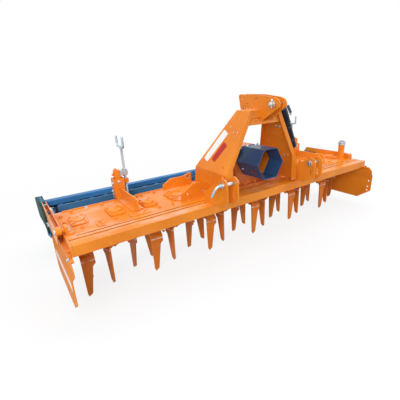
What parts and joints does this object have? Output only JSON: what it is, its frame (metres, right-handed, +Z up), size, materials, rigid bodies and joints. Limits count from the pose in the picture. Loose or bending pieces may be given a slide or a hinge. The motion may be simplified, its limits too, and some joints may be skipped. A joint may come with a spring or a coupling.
{
  "type": "power harrow with packer roller",
  "caption": "Tractor-mounted power harrow with upright tined rotors in a gear trough, a hinged packer roller and a levelling board.",
  "frame": {"origin": "on the ground under the middle of the machine's bounding box", "axes": "+X along the working width to the right seen from the tractor, +Y to the rear, +Z up"},
  "size_m": [3.086, 1.471, 1.268],
  "materials": {
    "orange_paint": "gloss",
    "blue_paint": "gloss",
    "gearbox_paint": "satin",
    "zinc_plate": "satin",
    "black_plastic": "matte"
  },
  "bodies": {
    "frame": {"arm_brackets": "orange_paint", "bearing_caps": "orange_paint", "cross_member": "orange_paint", "document_tube": "black_plastic", "drive_guard": "blue_paint", "end_plate_left": "orange_paint", "end_plate_right": "orange_paint", "filler_cap": "zinc_plate", "front_beam": "orange_paint", "gear_trough": "orange_paint", "gearbox": "gearbox_paint", "guide_post_left": "orange_paint", "guide_post_right": "orange_paint", "headstock_feet": "orange_paint", "headstock_leg_left": "orange_paint", "headstock_leg_right": "orange_paint", "lower_hitch_pins": "zinc_plate", "lower_hitch_plates": "orange_paint", "oil_filler": "orange_paint", "side_plate_left": "orange_paint", "side_plate_right": "orange_paint", "top_link_bracket": "orange_paint", "top_link_pin": "zinc_plate", "trough_lid": "orange_paint"},
    "rotor_1": {"rotor_1": "orange_paint"},
    "rotor_2": {"rotor_2": "orange_paint"},
    "rotor_3": {"rotor_3": "orange_paint"},
    "rotor_4": {"rotor_4": "orange_paint"},
    "rotor_5": {"rotor_5": "orange_paint"},
    "rotor_6": {"rotor_6": "orange_paint"},
    "rotor_7": {"rotor_7": "orange_paint"},
    "rotor_8": {"rotor_8": "orange_paint"},
    "rotor_9": {"rotor_9": "orange_paint"},
    "rotor_10": {"rotor_10": "orange_paint"},
    "rotor_11": {"rotor_11": "orange_paint"},
    "rotor_12": {"rotor_12": "orange_paint"},
    "drive_shaft": {"drive_shaft": "zinc_plate"},
    "levelling_board": {"levelling_board": "blue_paint", "levelling_bars": "orange_paint", "levelling_spindles": "zinc_plate"},
    "roller_frame": {"roller_arm_left": "orange_paint", "roller_arm_right": "orange_paint", "roller_side_frame_left": "blue_paint", "roller_side_frame_right": "blue_paint", "roller_beam": "blue_paint", "scrapers": "blue_paint"},
    "packer_roller": {"packer_roller": "blue_paint"}
  },
  "joints": [
    {"name": "rotor_1_spin", "type": "hinge", "parent": "frame", "child": "rotor_1", "pos_m": [-1.375, -0.2095, 0.3657], "axis": [0, 0, 1], "continuous": true},
    {"name": "rotor_2_spin", "type": "hinge", "parent": "frame", "child": "rotor_2", "pos_m": [-1.125, -0.2095, 0.3657], "axis": [0, 0, 1], "continuous": true},
    {"name": "rotor_3_spin", "type": "hinge", "parent": "frame", "child": "rotor_3", "pos_m": [-0.875, -0.2095, 0.3657], "axis": [0, 0, 1], "continuous": true},
    {"name": "rotor_4_spin", "type": "hinge", "parent": "frame", "child": "rotor_4", "pos_m": [-0.625, -0.2095, 0.3657], "axis": [0, 0, 1], "continuous": true},
    {"name": "rotor_5_spin", "type": "hinge", "parent": "frame", "child": "rotor_5", "pos_m": [-0.375, -0.2095, 0.3657], "axis": [0, 0, 1], "continuous": true},
    {"name": "rotor_6_spin", "type": "hinge", "parent": "frame", "child": "rotor_6", "pos_m": [-0.125, -0.2095, 0.3657], "axis": [0, 0, 1], "continuous": true},
    {"name": "rotor_7_spin", "type": "hinge", "parent": "frame", "child": "rotor_7", "pos_m": [0.125, -0.2095, 0.3657], "axis": [0, 0, 1], "continuous": true},
    {"name": "rotor_8_spin", "type": "hinge", "parent": "frame", "child": "rotor_8", "pos_m": [0.375, -0.2095, 0.3657], "axis": [0, 0, 1], "continuous": true},
    {"name": "rotor_9_spin", "type": "hinge", "parent": "frame", "child": "rotor_9", "pos_m": [0.625, -0.2095, 0.3657], "axis": [0, 0, 1], "continuous": true},
    {"name": "rotor_10_spin", "type": "hinge", "parent": "frame", "child": "rotor_10", "pos_m": [0.875, -0.2095, 0.3657], "axis": [0, 0, 1], "continuous": true},
    {"name": "rotor_11_spin", "type": "hinge", "parent": "frame", "child": "rotor_11", "pos_m": [1.125, -0.2095, 0.3657], "axis": [0, 0, 1], "continuous": true},
    {"name": "rotor_12_spin", "type": "hinge", "parent": "frame", "child": "rotor_12", "pos_m": [1.375, -0.2095, 0.3657], "axis": [0, 0, 1], "continuous": true},
    {"name": "drive_shaft_spin", "type": "hinge", "parent": "frame", "child": "drive_shaft", "pos_m": [0, -0.4455, 0.746], "axis": [0, 1, 0], "continuous": true},
    {"name": "levelling_board_slide", "type": "slide", "parent": "frame", "child": "levelling_board", "axis": [0, 0, 1], "range_m": [-0.01, 0.12]},
    {"name": "roller_frame_tilt", "type": "hinge", "parent": "frame", "child": "roller_frame", "pos_m": [0, -0.3595, 0.54], "axis": [1, 0, 0], "range_deg": [0, 15]},
    {"name": "packer_roller_spin", "type": "hinge", "parent": "roller_frame", "child": "packer_roller", "pos_m": [0, 0.5305, 0.205], "axis": [1, 0, 0], "continuous": true}
  ],
  "couplings": [
    {"joint": "rotor_2_spin", "follows": "rotor_1_spin", "ratio": -1},
    {"joint": "rotor_3_spin", "follows": "rotor_1_spin", "ratio": 1},
    {"joint": "rotor_4_spin", "follows": "rotor_1_spin", "ratio": -1},
    {"joint": "rotor_5_spin", "follows": "rotor_1_spin", "ratio": 1},
    {"joint": "rotor_6_spin", "follows": "rotor_1_spin", "ratio": -1},
    {"joint": "rotor_7_spin", "follows": "rotor_1_spin", "ratio": 1},
    {"joint": "rotor_8_spin", "follows": "rotor_1_spin", "ratio": -1},
    {"joint": "rotor_9_spin", "follows": "rotor_1_spin", "ratio": 1},
    {"joint": "rotor_10_spin", "follows": "rotor_1_spin", "ratio": -1},
    {"joint": "rotor_11_spin", "follows": "rotor_1_spin", "ratio": 1},
    {"joint": "rotor_12_spin", "follows": "rotor_1_spin", "ratio": -1},
    {"joint": "drive_shaft_spin", "follows": "rotor_1_spin", "ratio": 3}
  ]
}
